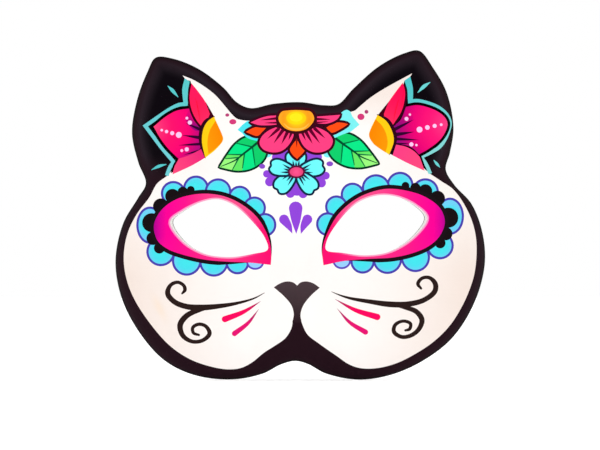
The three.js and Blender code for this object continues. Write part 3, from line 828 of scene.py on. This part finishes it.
def print_ear(ear):
    """Cyan line, big petal, lower petal, crimson petal and yellow disc, from the lowest up."""
    lay(run(*ear["dark"]), INK_DEEP)
    lay(run(*ear["cyan tip"]), ear["cyan"])
    lay(ribbon(ear["line width"], *ear["line"]), ear["cyan"])
    for points, widths in ear["flecks"]:
        lay(stroke(points, widths), ear["fleck"])
    lower = run(*ear["lower"])
    for shift in ear["lower edges"]:
        lay(lower + shift, INK_DEEP)
    inked(run(*ear["petal"]), ear["petal paint"], INK_DEEP, ear["petal line"])
    lay(run(*ear["fold"]), glow(ear["fold centre"], 12, (120, 8, 120), (170, 4, 118), (214, 0, 114)))
    for start, end, thick in ear["wedges"]:
        lay(taper(start, end, thick), SHADOW)
    lay(lower, ear["lower paint"])
    crimson = run(*ear["crimson"])
    lay(crimson + ear["crimson edge"], (50, 0, 20))
    lay(crimson, ear["crimson paint"])
    lay(run(*ear["crimson foot"]), (60, 0, 18))
    print_rim(*ear["rim"])
    for x, z, radius in ear["dots"]:
        lay(disc(x, z, radius, step=0.4), EAR_DOT)
    for x, z, rx, rz, colour in ear["spots"]:
        lay(disc(x, z, rx, rz), colour)


def draw_print():
    print_face()
    print_nose()
    print_eye(-1, LEFT_SCALLOPS, LEFT_PALE_SCALLOP, LEFT_LACE, LEFT_SOCKET)
    print_eye(1, RIGHT_SCALLOPS, RIGHT_PALE_SCALLOP, RIGHT_LACE, RIGHT_SOCKET)
    print_whiskers()
    print_brow_drops()
    print_ear(LEFT_EAR)
    print_ear(RIGHT_EAR)
    print_crown_leaves()
    print_small_flower()
    print_crown_petals()


# ---------------------------------------------------------------- meshes of the three layers

ROLL_SHARES = (0.14, 0.28, 0.42, 0.56, 0.7, 0.85)  # where rings of points follow the rolled edge
GRID_X, GRID_Z = (-108, 108), (-92, 100)  # the field of inner points
ROLL_CLEAR = 5.2  # inner points start this far in from the outer edge


def winding(points, outline):
    """How often a closed outline goes round each point."""
    turns = np.zeros(len(points), int)
    low, high = outline.min(axis=0), outline.max(axis=0)
    near = np.flatnonzero(((points > low) & (points < high)).all(axis=1))
    a, b = outline, np.roll(outline, -1, axis=0)
    for i in range(0, len(near), BATCH):
        part = near[i:i + BATCH]
        x, z = points[part, 0][:, None], points[part, 1][:, None]
        rising = (a[:, 1] <= z) & (b[:, 1] > z)
        falling = (a[:, 1] > z) & (b[:, 1] <= z)
        left = (b[:, 0] - a[:, 0]) * (z - a[:, 1]) - (x - a[:, 0]) * (b[:, 1] - a[:, 1])
        turns[part] = (rising & (left > 0)).sum(axis=1) - (falling & (left < 0)).sum(axis=1)
    return turns


def triangulate(pitch, outlines=()):
    """Triangles over the flat mask, with edges along every outline and rings in the rolled edge."""
    rows = []
    loops = [EDGE[:, :2]] + [o[:, :2] for o in OPENINGS]
    for share in ROLL_SHARES:
        rows.append(EDGE[:, :2] - EDGE_OUT * (EDGE[:, 2:] * (1 - math.sin(share * math.pi / 2))))
    rows.append(EDGE[:, :2] - EDGE_OUT * EDGE[:, 2:])
    columns = np.arange(*GRID_X, pitch)
    lines = np.arange(*GRID_Z, pitch * math.sqrt(0.75))
    grid = np.array([(x + (i % 2) * pitch / 2, z) for i, z in enumerate(lines) for x in columns])
    inset = nearest_edge(grid)[0]
    grid = grid[(winding(grid, loops[0]) != 0) & (inset > ROLL_CLEAR + pitch * 0.3)]
    points, edges = [grid], []
    count = len(grid)
    for loop in [*loops, *rows, *outlines]:
        index = np.arange(count, count + len(loop))
        edges += list(zip(index.tolist(), np.roll(index, -1).tolist()))
        points.append(loop)
        count += len(loop)
    points = np.vstack(points)
    flat, _, faces, _, _, _ = delaunay_2d_cdt([Vector(p) for p in points], edges, [], 0, 1e-4, False)
    flat, faces = np.array([tuple(p) for p in flat]), np.array([tuple(f) for f in faces])
    centres = flat[faces].mean(axis=1)
    kept = winding(centres, loops[0]) != 0
    for loop in loops[1:]:
        kept &= winding(centres, loop) == 0
    area = np.cross(flat[faces[:, 1]] - flat[faces[:, 0]], flat[faces[:, 2]] - flat[faces[:, 0]])
    kept &= np.abs(area) > 1e-7
    faces = faces[kept]
    used = np.unique(faces)
    renumber = np.full(len(flat), -1)
    renumber[used] = np.arange(len(used))
    return flat[used], renumber[faces]


def layer_mesh(name, flat, faces, top, bottom):
    """A closed layer between two depths under the front surface, and the faces of its front."""
    point, normal, press = shell_points(flat)
    upper = point - normal * (top * press)[:, None]
    lower = point - normal * (bottom * press)[:, None]
    corner = flat[faces]
    turned = np.cross(corner[:, 1] - corner[:, 0], corner[:, 2] - corner[:, 0]) < 0
    faces = faces.copy()
    faces[turned] = faces[turned][:, ::-1]
    n = len(flat)
    edges = np.vstack([faces[:, [0, 1]], faces[:, [1, 2]], faces[:, [2, 0]]])
    forward = {(int(a), int(b)) for a, b in edges}
    rim = [(a, b) for a, b in forward if (b, a) not in forward]
    rim.sort()
    walls = [(b, a, a + n, b + n) for a, b in rim]
    vertices = np.vstack([upper, lower]) * MM
    mesh = bpy.data.meshes.new(name)
    mesh.from_pydata(vertices.tolist(), [], [tuple(f) for f in faces.tolist()]
                     + [(c + n, b + n, a + n) for a, b, c in faces.tolist()] + walls)
    mesh.update()
    mesh.shade_smooth()
    mesh.set_sharp_from_angle(angle=math.radians(38))
    piece = bpy.data.objects.new(name, mesh)
    bpy.context.scene.collection.objects.link(piece)
    return piece, faces


def paint_corners(flat, faces):
    """Linear colours of the print at the three corners of every front triangle."""
    centres = flat[faces].mean(axis=1)
    top = np.full(len(faces), -1)
    for k, (outline, _) in enumerate(PRINT):
        top[winding(centres, outline) != 0] = k
    colours = np.ones((len(faces), 3, 4))
    for k in np.unique(top):
        chosen = top == k
        points = flat[faces[chosen]].reshape(-1, 2)
        paint = border_ink_with_painted_light if k < 0 else PRINT[k][1]
        shown = paint(points[:, 0], points[:, 1]) if callable(paint) else np.tile(paint, (len(points), 1))
        colours[chosen, :, :3] = linear(np.clip(shown, 0, 255)).reshape(-1, 3, 3)
    return colours


def add_print(piece, colours, plain):
    """Stores the print as corner colours; everything behind the front is plain."""
    mesh = piece.data
    stored = np.ones((len(mesh.loops), 4))
    stored[:, :3] = linear(plain)
    stored[:len(colours) * 3] = colours.reshape(-1, 4)
    attribute = mesh.color_attributes.new("print", "FLOAT_COLOR", "CORNER")
    attribute.data.foreach_set("color", stored.astype(np.float32).ravel())


# ---------------------------------------------------------------- materials

def start_material(name, roughness, specular, sheen=0.0):
    material = bpy.data.materials.new(name)
    material.use_nodes = True
    shader = material.node_tree.nodes["Principled BSDF"]
    shader.inputs["Roughness"].default_value = roughness
    shader.inputs["Specular IOR Level"].default_value = specular
    if sheen:
        shader.inputs["Sheen Weight"].default_value = sheen
        shader.inputs["Sheen Roughness"].default_value = 0.5
    return material, shader


def feed(tree, socket, value):
    if isinstance(value, bpy.types.NodeSocket):
        tree.links.new(value, socket)
    else:
        socket.default_value = value


def calc(tree, operation, *values):
    node = tree.nodes.new("ShaderNodeMath")
    node.operation = operation
    for socket, value in zip(node.inputs, values):
        feed(tree, socket, value)
    return node.outputs[0]


def object_axes(tree):
    """Object coordinates: the vector, and its x, y and z in metres."""
    where = tree.nodes.new("ShaderNodeTexCoord").outputs["Object"]
    split = tree.nodes.new("ShaderNodeSeparateXYZ")
    tree.links.new(where, split.inputs[0])
    return where, split.outputs


def noise(tree, where, scale, detail=3.0):
    node = tree.nodes.new("ShaderNodeTexNoise")
    tree.links.new(where, node.inputs["Vector"])
    node.inputs["Scale"].default_value = scale
    node.inputs["Detail"].default_value = detail
    return node.outputs["Fac"]


def knit_height(tree, axes, pitch):
    """Columns of V-shaped stitches, as a height from 0 to 1."""
    column = calc(tree, "DIVIDE", axes["X"], pitch * MM)
    slant = calc(tree, "PINGPONG", column, 0.5)
    row = calc(tree, "ADD", calc(tree, "DIVIDE", axes["Z"], pitch * 0.8 * MM), slant)
    stitch = calc(tree, "MULTIPLY_ADD", calc(tree, "SINE", calc(tree, "MULTIPLY", row, math.tau)), 0.3, 0.3)
    ridge = calc(tree, "ABSOLUTE", calc(tree, "SINE", calc(tree, "MULTIPLY", column, math.tau)))
    return calc(tree, "MULTIPLY_ADD", ridge, 0.4, stitch)


def tint(tree, colour, low, high, share):
    """A colour darkened by a share that runs from low to high."""
    level = tree.nodes.new("ShaderNodeMapRange")
    feed(tree, level.inputs["Value"], share)
    level.inputs["To Min"].default_value = low
    level.inputs["To Max"].default_value = high
    mix = tree.nodes.new("ShaderNodeMix")
    mix.data_type, mix.blend_type = "RGBA", "MULTIPLY"
    mix.inputs["Factor"].default_value = 1
    feed(tree, mix.inputs["A"], colour)
    tree.links.new(level.outputs["Result"], mix.inputs["B"])
    return mix.outputs["Result"]


def emboss(tree, shader, height, strength, distance):
    bump = tree.nodes.new("ShaderNodeBump")
    bump.inputs["Strength"].default_value = strength
    bump.inputs["Distance"].default_value = distance * MM
    tree.links.new(height, bump.inputs["Height"])
    tree.links.new(bump.outputs["Normal"], shader.inputs["Normal"])


KNIT_PITCH = 0.9  # two columns of stitches, mm


def printed_knit():
    material, shader = start_material("printed_knit", 0.7, 0.02, sheen=0.006)
    tree = material.node_tree
    where, axes = object_axes(tree)
    ink = tree.nodes.new("ShaderNodeAttribute")
    ink.attribute_name = "print"
    height = knit_height(tree, axes, KNIT_PITCH)
    # painted shade: the print is a little darker in the low parts of the knit, between the stitches
    colour = tint(tree, ink.outputs["Color"], 0.95, 1.0, height)
    colour = tint(tree, colour, 0.965, 1.0, noise(tree, where, 90))
    tree.links.new(colour, shader.inputs["Base Color"])
    emboss(tree, shader, height, 0.35, 0.05)
    return material


def white_foam():
    material, shader = start_material("white_foam", 0.9, 0.2)
    tree = material.node_tree
    where, _ = object_axes(tree)
    cells = tree.nodes.new("ShaderNodeTexVoronoi")
    tree.links.new(where, cells.inputs["Vector"])
    cells.inputs["Scale"].default_value = 1900
    colour = tint(tree, (*linear((250, 248, 243)), 1), 0.9, 1.0, noise(tree, where, 400))
    tree.links.new(colour, shader.inputs["Base Color"])
    emboss(tree, shader, cells.outputs["Distance"], 0.6, 0.12)
    return material


def lining_knit():
    material, shader = start_material("lining_knit", 0.9, 0.15, sheen=0.25)
    tree = material.node_tree
    where, axes = object_axes(tree)
    height = knit_height(tree, axes, 1.4)
    # painted shade: the grey is darker in the low parts of the knit, between the stitches
    colour = tint(tree, (*linear((74, 66, 68)), 1), 0.62, 1.0, height)
    colour = tint(tree, colour, 0.75, 1.1, noise(tree, where, 260, 5.0))
    tree.links.new(colour, shader.inputs["Base Color"])
    emboss(tree, shader, height, 0.6, 0.12)
    return material


def black_elastic():
    """Ribbed weave: the ribs are in the mesh, and the rows across them follow the length stored on it."""
    material, shader = start_material("black_elastic", 0.75, 0.25, sheen=0.15)
    tree = material.node_tree
    where, _ = object_axes(tree)
    length = tree.nodes.new("ShaderNodeAttribute")
    length.attribute_name = "length"
    row = calc(tree, "MULTIPLY", length.outputs["Fac"], math.tau / 0.8)
    height = calc(tree, "MULTIPLY_ADD", calc(tree, "SINE", row), 0.5, 0.5)
    # painted shade: the black is darker in the low parts of each row across the ribs
    colour = tint(tree, (*linear((40, 37, 40)), 1), 0.6, 1.0, height)
    colour = tint(tree, colour, 0.8, 1.15, noise(tree, where, 300, 4.0))
    tree.links.new(colour, shader.inputs["Base Color"])
    emboss(tree, shader, height, 0.5, 0.1)
    return material


def black_thread():
    material, shader = start_material("black_thread", 0.55, 0.35, sheen=0.1)
    tree = material.node_tree
    where, _ = object_axes(tree)
    colour = tint(tree, (*linear((34, 31, 35)), 1), 0.7, 1.1, noise(tree, where, 3000))
    tree.links.new(colour, shader.inputs["Base Color"])
    emboss(tree, shader, noise(tree, where, 5000), 0.4, 0.05)
    return material


# ---------------------------------------------------------------- elastic band and its stitches

BAND_WIDTH = 10.0
BAND_THICK = 1.0
BAND_DROP = 62.0  # how far the middle of the band hangs from the line through its ends
BAND_TILT = math.radians(35)  # the hanging band stands off the upright by this angle
SEW_Z = -8.0
SEW_IN, SEW_OUT = 80.0, 90.0  # the sewn stretch lies between these distances from the centre line
FLEX_X, FLEX_Y, FLEX_LAP = 88.0, 52.0, 1.6  # where the band leaves its stiff end, and swings
HANG_Y = FLEX_Y + 6  # the hanging stretch lies this far back before its own tilt
LAY_GAP = 0.1
RIBS = 9
RIB_DEPTH = 0.09


def over_lining(side, x, z, height):
    """A point at a height over the back of the lining."""
    point, normal, press = shell_points(np.array([[side * x, z]]))
    return point[0] - normal[0] * (SHELL * press[0] + height)


def band_line():
    """Centre line of the whole band: x, y, z and how far its width has turned from upright."""
    middle = LAY_GAP + BAND_THICK / 2
    sewn = [(*over_lining(-1, x, SEW_Z, middle), 0) for x in (SEW_IN, 83.3, 86.7, SEW_OUT)]
    reach = FLEX_X - FLEX_LAP
    bend = [(-FLEX_X - 0.1, FLEX_Y - 2, SEW_Z, 0), (-reach, FLEX_Y + 4, SEW_Z - 0.2, 0)]
    hang = []
    for share, twist in ((-0.93, 0.06), (-0.75, 0.4), (-0.5, 0.9), (-0.25, 1)):
        fall = BAND_DROP * (1 - share * share)
        hang.append((share * reach, HANG_Y + fall * math.sin(BAND_TILT), SEW_Z - fall * math.cos(BAND_TILT),
                     twist))
    left = [*sewn, *bend, *hang]
    lowest = (0, HANG_Y + BAND_DROP * math.sin(BAND_TILT), SEW_Z - BAND_DROP * math.cos(BAND_TILT), 1)
    right = [(-x, y, z, twist) for x, y, z, twist in reversed(left)]
    return smooth([*left, lowest, *right], closed=False, step=1.0, measured=3)


def band_profile():
    """Half of the ribbon's section: places across its width, and how thick one side is there."""
    across = np.linspace(-0.5, 0.5, RIBS * 6 + 1)
    rib = RIB_DEPTH * (np.cos(math.tau * RIBS * across + math.pi) - 1) / 2
    return across * BAND_WIDTH, BAND_THICK / 2 * np.sqrt(np.clip(1 - (2 * across) ** 10, 0.05, 1)) + rib


def make_band():
    line = band_line()
    centre, twist = line[:, :3], line[:, 3:]
    along = np.gradient(centre, axis=0)
    along /= np.linalg.norm(along, axis=1, keepdims=True)
    leaned = np.array([0, math.cos(BAND_TILT), math.sin(BAND_TILT)])
    width = np.array([0, 0, 1]) * (1 - twist) + leaned * twist
    width -= along * (width * along).sum(axis=1, keepdims=True)
    width /= np.linalg.norm(width, axis=1, keepdims=True)
    face = np.cross(along, width)
    across, half = band_profile()
    section = np.vstack([np.stack([across, half], axis=1), np.stack([across, -half], axis=1)[::-1]])
    vertices = centre[:, None] + width[:, None] * section[:, :1] + face[:, None] * section[:, 1:]
    rings, size = len(line), len(section)
    faces = []
    for i in range(rings - 1):
        for j in range(size):
            k = (j + 1) % size
            faces.append((i * size + j, i * size + k, (i + 1) * size + k, (i + 1) * size + j))
    for i, flip in ((0, True), (rings - 1, False)):
        for j in range(size // 2 - 1):
            quad = [i * size + j, i * size + j + 1, i * size + size - 2 - j, i * size + size - 1 - j]
            faces.append(tuple(quad[::-1] if flip else quad))
    mesh = bpy.data.meshes.new("elastic_band")
    mesh.from_pydata((vertices.reshape(-1, 3) * MM).tolist(), [], faces)
    length = np.concatenate([[0], np.cumsum(np.linalg.norm(np.diff(centre, axis=0), axis=1))])
    attribute = mesh.attributes.new("length", "FLOAT", "POINT")
    attribute.data.foreach_set("value", np.repeat(length, size).astype(np.float32))
    mesh.update()
    face_outward(mesh)
    mesh.shade_smooth()
    mesh.set_sharp_from_angle(angle=math.radians(50))
    band = bpy.data.objects.new("elastic_band", mesh)
    bpy.context.scene.collection.objects.link(band)
    return band


def face_outward(mesh):
    work = bmesh.new()
    work.from_mesh(mesh)
    bmesh.ops.recalc_face_normals(work, faces=work.faces)
    work.to_mesh(mesh)
    work.free()


THREAD = 0.22  # radius
STITCHES = 17
TACK_IN, TACK_OUT, TACK_HEIGHT = 83.0, 85.4, 9.0


def thread_nodes(material):
    """Turns a line of edges into a round thread."""
    tree = bpy.data.node_groups.new("thread", "GeometryNodeTree")
    tree.interface.new_socket("Line", in_out="INPUT", socket_type="NodeSocketGeometry")
    radius = tree.interface.new_socket("Thread radius", in_out="INPUT", socket_type="NodeSocketFloat")
    tree.interface.new_socket("Thread", in_out="OUTPUT", socket_type="NodeSocketGeometry")
    start, end = tree.nodes.new("NodeGroupInput"), tree.nodes.new("NodeGroupOutput")
    path = tree.nodes.new("GeometryNodeMeshToCurve")
    ring = tree.nodes.new("GeometryNodeCurvePrimitiveCircle")
    ring.inputs["Resolution"].default_value = 10
    tube = tree.nodes.new("GeometryNodeCurveToMesh")
    tube.inputs["Fill Caps"].default_value = True
    real = tree.nodes.new("GeometryNodeRealizeInstances")
    finish = tree.nodes.new("GeometryNodeSetMaterial")
    finish.inputs["Material"].default_value = material
    for a, b in (
        (start.outputs["Line"], path.inputs["Mesh"]),
        (start.outputs["Thread radius"], ring.inputs["Radius"]),
        (path.outputs["Curve"], tube.inputs["Curve"]),
        (ring.outputs["Curve"], tube.inputs["Profile Curve"]),
        (tube.outputs["Mesh"], real.inputs["Geometry"]),
        (real.outputs["Geometry"], finish.inputs["Geometry"]),
        (finish.outputs["Geometry"], end.inputs["Thread"]),
    ):
        tree.links.new(a, b)
    return tree, radius.identifier


def make_bartack(name, side, tree, radius_input):
    """A bar of zigzag stitches through the sewn end of the band."""
    rows = []
    for i in range(STITCHES * 2 + 1):
        x = TACK_IN if i % 2 else TACK_OUT
        z = SEW_Z + TACK_HEIGHT * (i / (STITCHES * 2) - 0.5)
        sunk = LAY_GAP + BAND_THICK - 0.1
        crest = LAY_GAP + BAND_THICK + THREAD * 0.9
        inward = 0.25 if i % 2 else -0.25
        rows += [over_lining(side, x, z - 0.05, sunk), over_lining(side, x + inward, z, crest)]
        rows += [over_lining(side, x + inward * 4, z + 0.1, crest + 0.06)]
    mesh = bpy.data.meshes.new(name)
    mesh.from_pydata((np.array(rows) * MM).tolist(), [(i, i + 1) for i in range(len(rows) - 1)], [])
    line = bpy.data.objects.new(name + "_line", mesh)
    bpy.context.scene.collection.objects.link(line)
    modifier = line.modifiers.new("thread", "NODES")
    modifier.node_group = tree
    modifier[radius_input] = THREAD * MM
    bpy.context.view_layer.update()
    made = bpy.data.meshes.new_from_object(line.evaluated_get(bpy.context.evaluated_depsgraph_get()))
    bpy.data.objects.remove(line)
    face_outward(made)
    made.shade_smooth()
    piece = bpy.data.objects.new(name, made)
    bpy.context.scene.collection.objects.link(piece)
    return piece


# ---------------------------------------------------------------- the finished mask

COVER_PITCH = 1.9  # size of the triangles
INNER_PITCH = 2.6
COVER_BACK = (236, 228, 226)


def make_cover():
    draw_print()
    flat, faces = triangulate(COVER_PITCH, [outline for outline, _ in PRINT])
    cover, faces = layer_mesh("knit_cover", flat, faces, 0, COVER + GAP - GLUE)
    add_print(cover, paint_corners(flat, faces), COVER_BACK)
    cover.data.materials.append(printed_knit())
    return cover


cover = make_cover()
flat, faces = triangulate(INNER_PITCH)
core, _ = layer_mesh("moulded_foam", flat, faces, COVER + GAP, COVER + GAP + CORE + GAP - GLUE)
core.data.materials.append(white_foam())
lining, _ = layer_mesh("knit_lining", flat, faces, SHELL - LINING, SHELL)
lining.data.materials.append(lining_knit())
band = make_band()
band.data.materials.append(black_elastic())
thread_tree, thread_radius = thread_nodes(black_thread())
tacks = [make_bartack(name + "_stitches", side, thread_tree, thread_radius)
         for name, side in (("left", -1), ("right", 1))]

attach(cover, "mask")
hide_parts("printed_cover")
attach(core, "mask")
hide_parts("foam_core")
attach(lining, "mask")
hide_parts("back_lining")
for tack, node in zip(tacks, ("left_bartack", "right_bartack")):
    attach(tack, "mask")
    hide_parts(node)
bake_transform(band)
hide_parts("elastic_strap", "left_strap_tail", "right_strap_tail")
